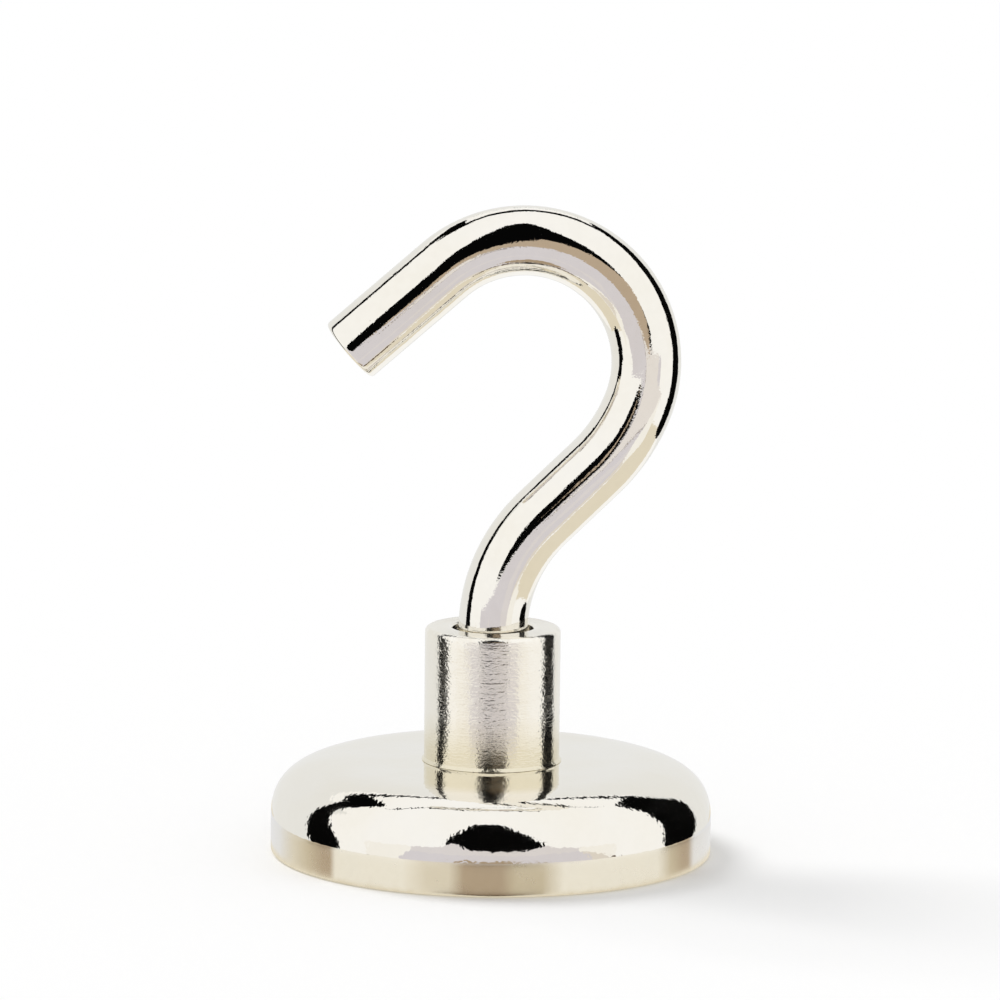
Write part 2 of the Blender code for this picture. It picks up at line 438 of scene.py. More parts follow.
def bend(bm, start, radius, turn):
    """Bends what lies beyond a place on the wire, towards -X where the angle is positive."""
    along = bm.verts.layers.float[ALONG]
    strain = bm.verts.layers.float[STRAIN]
    side = -math.copysign(radius, turn)
    centre = Vector((side, 0, start))
    run = radius * abs(turn)
    for vert in bm.verts:
        beyond = vert[along] - start
        if beyond <= 0:
            continue
        part = min(beyond / run, 1)
        if part < 1:
            vert[strain] = -vert.co.x / side
        arm = vert.co - Vector((0, 0, part * run)) - centre
        vert.co = centre + Matrix.Rotation(turn * part, 3, (0, -1, 0)) @ arm


class PIECE_OT_wire_hook(Operator):
    """Make the wire hook: turn it, roll its thread and bend it from the tip back"""

    bl_idname = "magnetic_hook.wire_hook"
    bl_label = "Wire Hook"

    def execute(self, context):
        scene = context.scene
        wire = scene.hook_wire
        _, neck, cheek, crook, _ = wire_lengths(wire)
        bm = straight_wire(wire)
        bmesh.ops.remove_doubles(bm, verts=bm.verts, dist=MERGE_DISTANCE)
        map_wire(bm, wire)
        roll_thread(bm, wire)
        bm.verts.layers.float.new(STRAIN)
        along = bm.verts.layers.float.new(ALONG)
        for vert in bm.verts:
            vert[along] = vert.co.z
        bend(bm, crook, wire.crook_radius, wire.crook_bend)
        bend(bm, cheek, wire.cheek_radius, wire.cheek_bend)
        bend(bm, neck, wire.neck_radius, -wire.neck_bend)
        bm.verts.layers.float.remove(along)
        material = drawn_nickel(scene.hook_finishes)
        finished_piece("hook_wire", bm, [material], HOOK_BODY, "wire_hook")
        return {"FINISHED"}


# Materials

# Places of a Mix node's colour sockets
MIX_FACTOR, MIX_FIRST, MIX_SECOND, MIX_RESULT = 0, 6, 7, 2

# Parts of a noise's range that are spread over 0 to 1. A narrow part gives hard-edged patches
PATCH_RANGE = DASH_RANGE = (0.35, 0.65)
HAZE_RANGE = (0.45, 0.85)
WEAR_RANGE = (0.4, 0.6)
BLOTCH_RANGE = (0.3, 0.7)

# A pit's floor and rim, as shares of the pits' spacing, and how much rougher the pit is
PIT_RADIUS = (0.05, 0.09)
PIT_ROUGHNESS = 0.3

# How wipes and smears add up to haze, and a wipe's size as a share of a smear's
WIPE_SHARE = 0.4
SMEAR_SHARE = 0.8
WIPE_SIZE = 0.08

# Broad waves in the polish, as multiples of the fine ones' size and height
BROAD_SIZE = 5.0
BROAD_HEIGHT = 2.0

# Roughness where a surface is clean and where it is hazed
POLISHED_HAZE = (0.03, 0.075)
DRAWN_HAZE = (0.025, 0.06)
MAGNET_HAZE = (0.24, 0.36)
RESIN_HAZE = (0.18, 0.35)

# Sizes and heights of the relief on each surface
POLISHED_RIPPLE = {"Ripple Size": 0.00015, "Ripple Height": 3.3e-6}
DRAWN_RIPPLE = {"Ripple Size": 0.00007, "Ripple Height": 9e-7}
DRAWN_LINES_PER_METRE = (1500, 12000, 1)
DRAWN_LINE_HEIGHT = 1.6e-6
BEND_GRAIN_SIZE = 0.00009
BEND_GRAIN_HEIGHT = 3e-6
MAGNET_GRAIN_SIZE = 0.00008
MAGNET_GRAIN_HEIGHT = 6e-6
RESIN_BLOTCH_SIZE = 0.0012
RESIN_WAVE_SIZE = 0.0004
RESIN_WAVE_HEIGHT = 3e-5

# What the lathe left on the pot's side and on the boss. Brushed is how far it draws out highlights
LatheCut = namedtuple("LatheCut", "haze line_depth line_spacing dash_length ripple_height brushed")
SIDE_CUT = LatheCut((0.2, 0.3), 4e-7, 0.00009, 0.0012, ripple_height=0.0, brushed=0.95)
BOSS_CUT = LatheCut((0.14, 0.2), 2.2e-6, 0.00007, 0.0005, ripple_height=7.2e-6, brushed=0.85)
CUT_RIPPLE_SIZE = 0.00009
CUT_RIPPLE_SCALE = (1, 1, 1.4)
QUARTER_TURN = 0.25

# Where the painted warm reflection at the boss's foot is full and where it ends, over the pot's face
FOOT_REFLECTION_FULL = 0.0005
FOOT_REFLECTION_TOP = 0.0017


def add(tree, kind, inputs=None, **settings):
    """Adds a shader node with its settings, and sets its inputs or links them to other sockets."""
    node = tree.nodes.new("ShaderNode" + kind)
    for key, value in settings.items():
        setattr(node, key, value)
    for key, value in (inputs or {}).items():
        if isinstance(value, bpy.types.NodeSocket):
            tree.links.new(value, node.inputs[key])
        else:
            node.inputs[key].default_value = value
    return node


def calc(tree, operation, *values):
    """The result of a Math node."""
    return add(tree, "Math", dict(enumerate(values)), operation=operation).outputs[0]


def spread(tree, value, low, high, new_low=0.0, new_high=1.0):
    """A value carried from one range to another, and kept inside it."""
    inputs = {"Value": value, "From Min": low, "From Max": high, "To Min": new_low, "To Max": new_high}
    return add(tree, "MapRange", inputs).outputs["Result"]


def mix(tree, factor, first, second, blend_type="MIX"):
    """Two colours mixed by a factor."""
    inputs = {MIX_FACTOR: factor, MIX_FIRST: first, MIX_SECOND: second}
    return add(tree, "Mix", inputs, data_type="RGBA", blend_type=blend_type).outputs[MIX_RESULT]


def noise(tree, vector, size, detail=2.0, distortion=0.0):
    """Noise whose patches are about a size across."""
    scale = calc(tree, "DIVIDE", 1.0, size)
    inputs = {"Vector": vector, "Scale": scale, "Detail": detail, "Distortion": distortion}
    return add(tree, "TexNoise", inputs).outputs["Fac"]


def node_group(name, inputs, build):
    """A shader node group with a vector and other named inputs, made once and then shared."""
    if name in bpy.data.node_groups:
        return bpy.data.node_groups[name]
    tree = bpy.data.node_groups.new(name, "ShaderNodeTree")
    new_socket = tree.interface.new_socket
    new_socket("Vector", in_out="INPUT", socket_type="NodeSocketVector")
    for label, default in inputs.items():
        kind = "NodeSocketColor" if isinstance(default, tuple) else "NodeSocketFloat"
        new_socket(label, in_out="INPUT", socket_type=kind).default_value = default
    results = build(tree, tree.nodes.new("NodeGroupInput").outputs)
    for label, result in results.items():
        kind = "NodeSocketColor" if result.type == "RGBA" else "NodeSocketFloat"
        new_socket(label, in_out="OUTPUT", socket_type=kind)
    sink = tree.nodes.new("NodeGroupOutput").inputs
    for label, result in results.items():
        tree.links.new(result, sink[label])
    return tree


def plating_tone():
    """Slow changes of a plated colour from patch to patch, with small dark pits."""

    def build(tree, source):
        slow = noise(tree, source["Vector"], source["Patch Size"], detail=3.0)
        tone = mix(tree, spread(tree, slow, *PATCH_RANGE), source["Plate"], source["Warmer"])
        per_metre = calc(tree, "DIVIDE", 1.0, source["Pit Spacing"])
        cells = add(tree, "TexVoronoi", {"Vector": source["Vector"], "Scale": per_metre}).outputs
        near = spread(tree, cells["Distance"], *PIT_RADIUS, 1.0, 0.0)
        chosen = calc(tree, "LESS_THAN", cells["Color"], source["Pit Share"])
        pits = calc(tree, "MULTIPLY", near, chosen)
        return {"Color": mix(tree, pits, tone, source["Pit Colour"]), "Pits": pits}

    inputs = {
        "Plate": (0.91, 0.89, 0.83, 1),
        "Warmer": (0.9, 0.86, 0.78, 1),
        "Patch Size": 0.003,
        "Pit Spacing": 0.0005,
        "Pit Share": 0.1,
        "Pit Colour": (0.35, 0.3, 0.24, 1),
    }
    return node_group("plating_tone", inputs, build)


def handling_haze():
    """Roughness that rises where fingers and cloths have dulled the plate."""

    def build(tree, source):
        smears = noise(tree, source["Vector"], source["Smear Size"], detail=4.0, distortion=1.0)
        wipe_size = calc(tree, "MULTIPLY", source["Smear Size"], WIPE_SIZE)
        wipes = noise(tree, source["Vector"], wipe_size)
        smeared = calc(tree, "MULTIPLY", smears, SMEAR_SHARE)
        level = calc(tree, "MULTIPLY_ADD", wipes, WIPE_SHARE, smeared)
        hazed = spread(tree, level, *HAZE_RANGE)
        span = calc(tree, "SUBTRACT", source["Hazed"], source["Clean"])
        return {"Roughness": calc(tree, "MULTIPLY_ADD", hazed, span, source["Clean"])}

    return node_group("handling_haze", {"Clean": 0.04, "Hazed": 0.1, "Smear Size": 0.002}, build)


def polish_ripple():
    """The slight unevenness of a polished and plated surface, as a height in metres."""

    def build(tree, source):
        fine = noise(tree, source["Vector"], source["Ripple Size"], detail=1.0)
        broad_size = calc(tree, "MULTIPLY", source["Ripple Size"], BROAD_SIZE)
        broad = noise(tree, source["Vector"], broad_size)
        both = calc(tree, "MULTIPLY_ADD", broad, BROAD_HEIGHT, fine)
        return {"Height": calc(tree, "MULTIPLY", both, source["Ripple Height"])}

    return node_group("polish_ripple", POLISHED_RIPPLE, build)


def turned_lines():
    """The lines that a turning tool leaves round the Z axis, broken into dashes."""

    def build(tree, source):
        place = add(tree, "SeparateXYZ", {"Vector": source["Vector"]}).outputs
        flat = add(tree, "CombineXYZ", {"X": place["X"], "Y": place["Y"]}).outputs[0]
        out = add(tree, "VectorMath", {0: flat}, operation="LENGTH").outputs["Value"]
        feed = calc(tree, "ADD", place["Z"], out)
        dash = source["Dash Length"]
        x, y = [calc(tree, "DIVIDE", place[axis], dash) for axis in ("X", "Y")]
        z = calc(tree, "DIVIDE", feed, source["Line Spacing"])
        along = add(tree, "CombineXYZ", {"X": x, "Y": y, "Z": z}).outputs[0]
        deep = spread(tree, noise(tree, along, 1.0, detail=1.0), *DASH_RANGE)
        return {"Height": calc(tree, "MULTIPLY", deep, source["Line Depth"])}

    inputs = {"Line Spacing": 0.00004, "Dash Length": 0.0012, "Line Depth": 1e-6}
    return node_group("turned_lines", inputs, build)


def worn_edges():
    """How worn an edge is, in broken patches, from the mask that the mesh carries."""

    def build(tree, source):
        patches = noise(tree, source["Vector"], source["Wear Size"], detail=3.0)
        broken = spread(tree, patches, *WEAR_RANGE)
        return {"Wear": calc(tree, "MULTIPLY", broken, source["Edge"])}

    return node_group("worn_edges", {"Edge": 0.0, "Wear Size": 0.0003}, build)


def new_material(name):
    """A node material, its tree, its shader and its object coordinates."""
    material = bpy.data.materials.new(name)
    material.use_nodes = True
    tree = material.node_tree
    place = add(tree, "TexCoord").outputs["Object"]
    return material, tree, tree.nodes["Principled BSDF"], place


def plate_look(tree, shader, place, finishes, plate, haze):
    """Plates a surface: tone, pits, haze and worn edges, as every nickelled piece has them."""
    inputs = {"Vector": place, "Plate": (*plate, 1), "Warmer": (*finishes.warm, 1)}
    tone = add(tree, "Group", inputs, node_tree=plating_tone()).outputs
    inputs = {"Vector": place, "Clean": haze[0], "Hazed": haze[1]}
    hazed = add(tree, "Group", inputs, node_tree=handling_haze()).outputs["Roughness"]
    edge = add(tree, "Attribute", attribute_name=EDGE_MASK).outputs["Fac"]
    wear = add(tree, "Group", {"Vector": place, "Edge": edge}, node_tree=worn_edges()).outputs["Wear"]
    worn = mix(tree, wear, tone["Color"], (*finishes.worn, 1))
    pitted = calc(tree, "MULTIPLY_ADD", tone["Pits"], PIT_ROUGHNESS, hazed)
    tree.links.new(worn, shader.inputs["Base Color"])
    tree.links.new(pitted, shader.inputs["Roughness"])
    shader.inputs["Metallic"].default_value = 1.0


def ripples(tree, vector, ripple):
    """The height of a surface's ripple, from its size and its height."""
    inputs = {"Vector": vector, **ripple}
    return add(tree, "Group", inputs, node_tree=polish_ripple()).outputs["Height"]


def relief(tree, shader, height):
    """Gives the shader the normal of a height in metres on the surface."""
    bump = add(tree, "Bump", {"Height": height, "Strength": 1.0, "Distance": 1.0})
    tree.links.new(bump.outputs["Normal"], shader.inputs["Normal"])


def round_the_axis(tree, place):
    """The direction round the Z axis, along which a lathe cuts."""
    round_axis = add(tree, "VectorMath", {0: (0, 0, 1), 1: place}, operation="CROSS_PRODUCT")
    return add(tree, "VectorMath", {0: round_axis.outputs[0]}, operation="NORMALIZE").outputs[0]


def polished_nickel(finishes):
    """Bright plate on a pressed and polished surface."""
    material, tree, shader, place = new_material("polished_nickel_plate")
    plate_look(tree, shader, place, finishes, finishes.polished, POLISHED_HAZE)
    relief(tree, shader, ripples(tree, place, POLISHED_RIPPLE))
    return material


def turned_nickel(name, finishes, cut):
    """Plate on a surface that a lathe cut, with fine lines round the axis and a slight ripple."""
    material, tree, shader, place = new_material(name)
    plate_look(tree, shader, place, finishes, finishes.turned, cut.haze)
    inputs = {"Vector": place, "Line Depth": cut.line_depth, "Line Spacing": cut.line_spacing}
    inputs["Dash Length"] = cut.dash_length
    lines = add(tree, "Group", inputs, node_tree=turned_lines()).outputs["Height"]
    squeezed = add(tree, "Mapping", {"Vector": place, "Scale": CUT_RIPPLE_SCALE}).outputs[0]
    ripple = {"Ripple Size": CUT_RIPPLE_SIZE, "Ripple Height": cut.ripple_height}
    relief(tree, shader, calc(tree, "ADD", lines, ripples(tree, squeezed, ripple)))
    shader.inputs["Anisotropic"].default_value = cut.brushed
    shader.inputs["Anisotropic Rotation"].default_value = QUARTER_TURN
    tree.links.new(round_the_axis(tree, place), shader.inputs["Tangent"])
    return material


def paint_foot_reflection(material, foot, tone):
    """Yellows a plate towards its foot, as a painted warm reflection."""
    tree = material.node_tree
    base = tree.nodes["Principled BSDF"].inputs["Base Color"]
    place = add(tree, "TexCoord").outputs["Object"]
    height = add(tree, "SeparateXYZ", {"Vector": place}).outputs["Z"]
    reflected_share = spread(tree, height, foot + FOOT_REFLECTION_FULL, foot + FOOT_REFLECTION_TOP, 1.0, 0.0)
    plate = base.links[0].from_socket
    tree.links.new(mix(tree, reflected_share, plate, (*tone, 1), "MULTIPLY"), base)


def drawn_nickel(finishes):
    """Bright plate on drawn wire, whose surface is rougher where it was bent."""
    material, tree, shader, place = new_material("drawn_nickel_plate")
    plate_look(tree, shader, place, finishes, finishes.drawn, DRAWN_HAZE)
    ripple = ripples(tree, place, DRAWN_RIPPLE)
    along = add(tree, "UVMap", uv_map=WIRE_MAP).outputs["UV"]
    stretched = add(tree, "Mapping", {"Vector": along, "Scale": DRAWN_LINES_PER_METRE}).outputs[0]
    lines = noise(tree, stretched, 1.0)
    strain = calc(tree, "ABSOLUTE", add(tree, "Attribute", attribute_name=STRAIN).outputs["Fac"])
    grain = calc(tree, "MULTIPLY", noise(tree, place, BEND_GRAIN_SIZE), strain)
    drawn = calc(tree, "MULTIPLY_ADD", lines, DRAWN_LINE_HEIGHT, ripple)
    relief(tree, shader, calc(tree, "MULTIPLY_ADD", grain, BEND_GRAIN_HEIGHT, drawn))
    return material


def magnet_nickel(finishes):
    """Satin plate over the grain of a sintered magnet."""
    material, tree, shader, place = new_material("magnet_nickel_plate")
    plate_look(tree, shader, place, finishes, finishes.magnet, MAGNET_HAZE)
    grain = noise(tree, place, MAGNET_GRAIN_SIZE, detail=4.0)
    relief(tree, shader, calc(tree, "MULTIPLY", grain, MAGNET_GRAIN_HEIGHT))
    return material


def cured_resin(finishes):
    """Dark resin with cloudy patches and the slight waves in which it set."""
    material, tree, shader, place = new_material("cured_resin")
    blotches = noise(tree, place, RESIN_BLOTCH_SIZE, detail=3.0)
    tone = mix(tree, blotches, (*finishes.resin, 1), (*finishes.resin_light, 1))
    roughness = spread(tree, blotches, *BLOTCH_RANGE, *RESIN_HAZE)
    tree.links.new(tone, shader.inputs["Base Color"])
    tree.links.new(roughness, shader.inputs["Roughness"])
    waves = noise(tree, place, RESIN_WAVE_SIZE, detail=3.0)
    relief(tree, shader, calc(tree, "MULTIPLY", waves, RESIN_WAVE_HEIGHT))
    return material


# The stage. The metal is nearly a mirror, and shows the cards that stand round it. Angles are in
# degrees, azimuth 0 is towards the camera and grows to its right, and y runs away from it

WHITE = (1, 1, 1)
BLACK = (0.002, 0.002, 0.002)
GREY_PANEL = (0.85, 0.855, 0.85)
KHAKI = (0.79, 0.73, 0.6)
LILAC = (0.7, 0.675, 0.72)
# The seam's tone is painted shadow: the dark line that a sheet's edge casts
SEAM_SHADOW = (0.12, 0.08, 0.05)
TAN = (0.5, 0.4, 0.3)
PALE = (0.82, 0.785, 0.77)
GREY_KERB = (0.74, 0.71, 0.73)
BROWN = (0.4, 0.31, 0.21)
CREAM = (0.96, 0.945, 0.91)
BEIGE = (0.77, 0.72, 0.66)

SMOOTHING = 2
FLOOR_RADIUS = 0.6
FLOOR_STEPS = 128
FLOOR_GAP = 0.00003

# The lamp's share of the light on matte surfaces. The white surround gives the rest
LAMP_SHARE = 0.3
LAMP_AZIMUTH = -128
LAMP_RISE = 52
LAMP_SPREAD = 30

# The photograph's camera, which stands off from one point and is aimed at another
CAMERA_DISTANCE = 0.20821
CAMERA_RISE = 9.88869
CAMERA_ROLL = 0.64633
CAMERA_LENS = 236.8
CAMERA_SENSOR = 36.0
CAMERA_CLIP = (0.01, 10)
CAMERA_CENTRE = (0, 0, 0.009)
AIM_POINT = (0.000178, 0, 0.01128)

# The ring of cards, which opens outwards as it rises, and its cards' stations of two places each,
# as azimuth and elevation
CARD_DISTANCE = 0.04
CARD_OPENING = 30.0
CARD_CENTRE = (0, 0.005, 0.0015)
LEFT_FLAG = (
    ((-95, -14), (-70, -14)),
    ((-95, -6), (-71, -6)),
    ((-97, 6), (-77, 6)),
    ((-102, 18), (-86, 18)),
    ((-109, 29), (-96, 29)),
    ((-115, 37), (-103, 37)),
    ((-121, 42), (-110, 45)),
    ((-128, 45), (-119, 55)),
    ((-136, 45.5), (-128, 60)),
    ((-146, 45), (-142, 55)),
    ((-156, 44), (-154, 47)),
)
RIGHT_FLAG = (
    ((86, -14), (120, -14)),
    ((86, -6), (120, -6)),
    ((88, 8), (119, 8)),
    ((92, 20), (126, 20)),
    ((97, 30), (132, 30)),
    ((105, 38), (138, 38)),
    ((115, 48), (145, 41)),
    ((132, 53), (150, 41)),
    ((147, 48), (156, 41.5)),
)
REAR_PANEL = [((azimuth, -16), (azimuth, 40)) for azimuth in range(108, 265, 12)]
PANEL_FARTHER = 1.35

# Two dark bars behind the object, as lines of sight. The low one is edge-on to the hook's crown,
# so only the pot mirrors it, and the high one is edge-on to the pot's shoulder
POT_SHOULDER = (0, -0.006, 0.0024)
HOOK_CROWN = (0, 0, 0.0185)
LOW_BAR_SIGHTS = ((-140, 39), (-150, 38.5), (-164, 37), (-180, 36), (-198, 36), (-212, 37.5))
LOW_BAR_REACH = (0.093, 0.2)
HIGH_BAR_SIGHTS = (
    (-118, 59), (-128, 61), (-142, 62.5), (-158, 64), (-176, 63), (-194, 61), (-210, 58), (-224, 54)
)
HIGH_BAR_REACH = (0.036, 0.28)

# A dark gap in front that narrows upwards and leans over the object, as heights with its left and
# right edges
FRONT_GAP = (
    (-0.018, -0.1, 0.118),
    (0.02, -0.099, 0.12),
    (0.05, -0.083, 0.096),
    (0.1, -0.048, 0.05),
    (0.125, -0.031, 0.024),
    (0.155, -0.018, 0.012),
)
FRONT_GAP_DISTANCE = 0.25
FRONT_GAP_SLOPE = math.tan(math.radians(50))

# A shelf in front, black below and tan on top: left and right edges, place away and height
TAN_SHELF = (
    ((-0.005, 0.012), -0.034, 0.0122),
    ((-0.001, 0.027), -0.05, 0.018),
    ((0.003, 0.049), -0.09, 0.0324),
    ((0.012, 0.088), -0.17, 0.0612),
)

# The plinth: a khaki sheet behind a seam, with a dark strip of painted shadow along the seam, and
# lilac sheets in front, with wings that fall away
SHEET_LEVEL = -0.00001
SHEET_EDGE = -0.008
SEAM_SHADOW_WIDTH = 0.001
SEAM_SIDE = 0.0085
PLINTH_FRONT = -0.02
PLINTH_SIDE = 0.021
PLINTH_BACK = 0.008
WING_END = 0.07
WING_DROP = -0.0246
WING_BACK = 0.033
WING_FRONT = -0.13
FAR_EDGE = ((-0.3, -0.29, -0.019), (0.34, -0.29, -0.019))

# The plinth's sides: where the near lilac sheet ends across at its front and at the seam, how far
# away the wings meet at their end, and the tone of the corner beside the sheet
Side = namedtuple("Side", "name sign lilac_front lilac_back wings_meet corner_tone")
LEFT = Side("left", -1, lilac_front=-0.0145, lilac_back=-0.0052, wings_meet=-0.035, corner_tone=CREAM)
RIGHT = Side("right", 1, lilac_front=0.0172, lilac_back=0.0063, wings_meet=-0.066, corner_tone=BEIGE)

# The kerb at the plinth's front edge, as places across with heights
KERB_HEIGHT = 0.0024
CREAM_KERB_END = 0.038
KERB_PROFILE = (
    (LEFT.lilac_front, KERB_HEIGHT),
    (-0.0085, 0.003),
    (-0.0056, 0.0052),
    (-0.0037, 0.0022),
    (0.0005, 0.0014),
    (0.005, 0.0018),
    (0.0072, 0.0028),
    (0.0088, 0.0042),
    (0.0118, 0.0026),
    (RIGHT.lilac_front, KERB_HEIGHT),
)

# A brown patch before the pot, as places across with half its depth there
BROWN_PATCH = ((-0.0045, 0.0004), (-0.0015, 0.0022), (0.0017, 0.0022), (0.0045, 0.0004))
PATCH_PLACE = -0.0103

# The low ring close round the pot, whose side mirrors it, as azimuths with tones
RING_RADIUS = 0.0073
RING_HEIGHT = 0.001
RING_STEP = 6
RING_CREAM = (0.885, 0.86, 0.785)
RING_PALE = (0.8, 0.81, 0.84)
RING_KHAKI = (0.73, 0.68, 0.57)
RING_TAN = (0.6, 0.53, 0.4)
RING_BROWN = (0.46, 0.37, 0.27)
RING_TONES = (
    (-150, RING_PALE), (-78, RING_PALE), (-66, RING_KHAKI), (-58, RING_TAN), (-51, RING_BROWN),
    (-48, RING_BROWN), (-46, RING_CREAM), (-24, RING_CREAM), (-17, RING_KHAKI), (-11, RING_KHAKI),
    (-7, RING_BROWN), (3, RING_BROWN), (7, RING_TAN), (14, RING_TAN), (20, RING_CREAM),
    (51, RING_CREAM), (57, RING_TAN), (64, RING_BROWN), (67, RING_BROWN), (71, RING_PALE),
    (150, RING_PALE),
)

# A pale sheet beyond a slanting seam in the lilac one, with a strip of painted shadow along the seam,
# as places across and away
SLANT = ((0.027, -0.0205), (0.0025, -0.062), (0.0, -0.16))
SLANT_RIGHT = (0.045, 0.052, 0.15)
SLANT_LIFT = 0.0001
SLANT_SHADOW_WIDTH = 0.0007


def direction(azimuth, elevation):
    """A unit vector away from the object."""
    azimuth, elevation = math.radians(azimuth), math.radians(elevation)
    level = math.cos(elevation)
    return Vector((math.sin(azimuth) * level, -math.cos(azimuth) * level, math.sin(elevation)))


def painted(name, build):
    """A material whose surface is the one shader that a function builds in its tree."""
    material = bpy.data.materials.new(name)
    material.use_nodes = True
    tree = material.node_tree
    tree.nodes.clear()
    add(tree, "OutputMaterial", {"Surface": build(tree)})
    return material


def evenly_lit(name, front, back):
    """A card's glowing material, with one tone on its front and one on its back at every angle, as an
    evenly lit card would show.
    """

    def glow(tree):
        behind = add(tree, "NewGeometry").outputs["Backfacing"]
        tone = mix(tree, behind, (*front, 1), (*back, 1))
        return add(tree, "Emission", {"Color": tone}).outputs[0]

    return painted(name, glow)


def card(name, stations, front, smoothing=0, back=None):
    """A sheet that only reflections see, bent along stations of two places on its edges."""
    bm = bmesh.new()
    rows = [[bm.verts.new(place) for place in station] for station in stations]
    for first, second in zip(rows, rows[1:]):
        bm.faces.new((first[0], first[1], second[1], second[0]))
    sheet = placed(name, bm, [evenly_lit(name, front, back or front)])
    if smoothing:
        rounded = sheet.modifiers.new("Rounded", "SUBSURF")
        rounded.levels = rounded.render_levels = smoothing
    sheet.visible_camera = sheet.visible_diffuse = sheet.visible_shadow = False
    return sheet


def on_ring(stations, farther=1.0):
    """A card's stations on the ring of cards, or farther out by a factor."""

    def place(azimuth, elevation):
        away = CARD_DISTANCE * (1 + (max(elevation, 0) / CARD_OPENING) ** 2) * farther
        return Vector(CARD_CENTRE) + direction(azimuth, elevation) * away

    return [[place(*pair) for pair in station] for station in stations]


def louvre(eye, sightlines, reach):
    """Stations along lines of sight from a place, from which only the card's edge is seen."""
    return [[Vector(eye) + direction(*sight) * away for away in reach] for sight in sightlines]


def row(places_across, away, height):
    """A station whose places differ only across."""
    return [Vector((x, away, height)) for x in places_across]


def hang_cards():
    """The dark flags and bars, the panel behind them, and the gap and the shelf in front."""
    card("left_flag", on_ring(LEFT_FLAG), BLACK, SMOOTHING)
    card("right_flag", on_ring(RIGHT_FLAG), BLACK, SMOOTHING)
    low_bar = louvre(HOOK_CROWN, LOW_BAR_SIGHTS, LOW_BAR_REACH)
    card("low_bar", low_bar, BLACK, SMOOTHING)
    high_bar = louvre(POT_SHOULDER, HIGH_BAR_SIGHTS, HIGH_BAR_REACH)
    card("high_bar", high_bar, BLACK, SMOOTHING)
    card("rear_panel", on_ring(REAR_PANEL, PANEL_FARTHER), GREY_PANEL)
    gap = [row(edges, up * FRONT_GAP_SLOPE - FRONT_GAP_DISTANCE, up) for up, *edges in FRONT_GAP]
    card("front_gap", gap, BLACK, SMOOTHING)
    card("tan_shelf", [row(*station) for station in TAN_SHELF], BLACK, back=TAN)


def wing_level(x):
    """How high the plinth's sheets lie at a place across, as they fall away at both sides."""
    return min(SHEET_LEVEL, (abs(x) - SEAM_SIDE) / (WING_END - SEAM_SIDE) * WING_DROP)


def lay_plinth():
    """The khaki sheet, the painted shadow along the seam before it and the lilac sheets in front."""
    seam_back = SHEET_EDGE + SEAM_SHADOW_WIDTH
    seam_ends = (-SEAM_SIDE, SEAM_SIDE)
    khaki = [[(x, seam_back, 0), (x, PLINTH_BACK, 0)] for x in seam_ends]
    left, right = [
        [(side.sign * WING_END, away, WING_DROP) for away in (side.wings_meet, WING_BACK)]
        for side in (LEFT, RIGHT)
    ]
    card("khaki_sheet", [left, *khaki, right], KHAKI)
    # A dark strip of painted shadow along the seam at the khaki sheet's front edge
    seam = [row(seam_ends, away, SHEET_LEVEL) for away in (SHEET_EDGE, seam_back)]
    card("seam_shadow", seam, SEAM_SHADOW)
    near_edge = row((-PLINTH_SIDE, PLINTH_SIDE), PLINTH_FRONT, SHEET_LEVEL)
    card("far_lilac_sheet", [FAR_EDGE, near_edge], LILAC)
    front = row((LEFT.lilac_front, RIGHT.lilac_front), PLINTH_FRONT, SHEET_LEVEL)
    back = row((LEFT.lilac_back, RIGHT.lilac_back), SHEET_EDGE, SHEET_LEVEL)
    card("near_lilac_sheet", [front, back], LILAC)


def lay_side(side):
    """The corner between the near lilac sheet and the wings, the lilac wing and its kerb."""
    end = side.sign * WING_END
    kerb_foot = Vector((side.lilac_front, PLINTH_FRONT, SHEET_LEVEL))
    lilac_end = Vector((side.lilac_back, SHEET_EDGE, SHEET_LEVEL))
    seam_end = Vector((side.sign * SEAM_SIDE, SHEET_EDGE, SHEET_LEVEL))
    wings_meet = Vector((end, side.wings_meet, WING_DROP))
    along = (PLINTH_FRONT - SHEET_EDGE) / (side.wings_meet - SHEET_EDGE)
    corner = seam_end.lerp(wings_meet, along)
    near_corner = [(kerb_foot, lilac_end), (kerb_foot, seam_end)]
    card(f"{side.name}_near_corner", near_corner, side.corner_tone)
    card(f"{side.name}_far_corner", [(kerb_foot, seam_end), (corner, seam_end)], BEIGE)
    wing = [(kerb_foot, corner), ((end, WING_FRONT, WING_DROP), wings_meet)]
    card(f"{side.name}_lilac_wing", wing, LILAC)
    across = (side.lilac_front, side.sign * CREAM_KERB_END)
    kerb = [((x, PLINTH_FRONT, wing_level(x)), (x, PLINTH_FRONT, KERB_HEIGHT)) for x in across]
    card(f"{side.name}_cream_kerb", kerb, CREAM)


def low_ring():
    """The ring close round the pot, whose tones run softly from one azimuth to the next."""
    places = [RING_TONES[0]]
    for (start, first), (end, last) in zip(RING_TONES, RING_TONES[1:]):
        for azimuth in steps_between(start, end, RING_STEP):
            tone = Vector(first).lerp(Vector(last), (azimuth - start) / (end - start))
            places.append((azimuth, tone))
    feet = [direction(azimuth, 0) * RING_RADIUS for azimuth, _ in places]
    ring = card("low_ring", [(foot, foot + Vector((0, 0, RING_HEIGHT))) for foot in feet], RING_CREAM)
    tones = ring.data.color_attributes.new(RING_TONE, "FLOAT_COLOR", "POINT")
    for number, point in enumerate(tones.data):
        point.color = (*places[number // 2][1], 1)
    tree = ring.data.materials[0].node_tree
    graded = add(tree, "Attribute", attribute_name=RING_TONE).outputs["Color"]
    glow = next(node for node in tree.nodes if node.type == "EMISSION")
    tree.links.new(graded, glow.inputs["Color"])


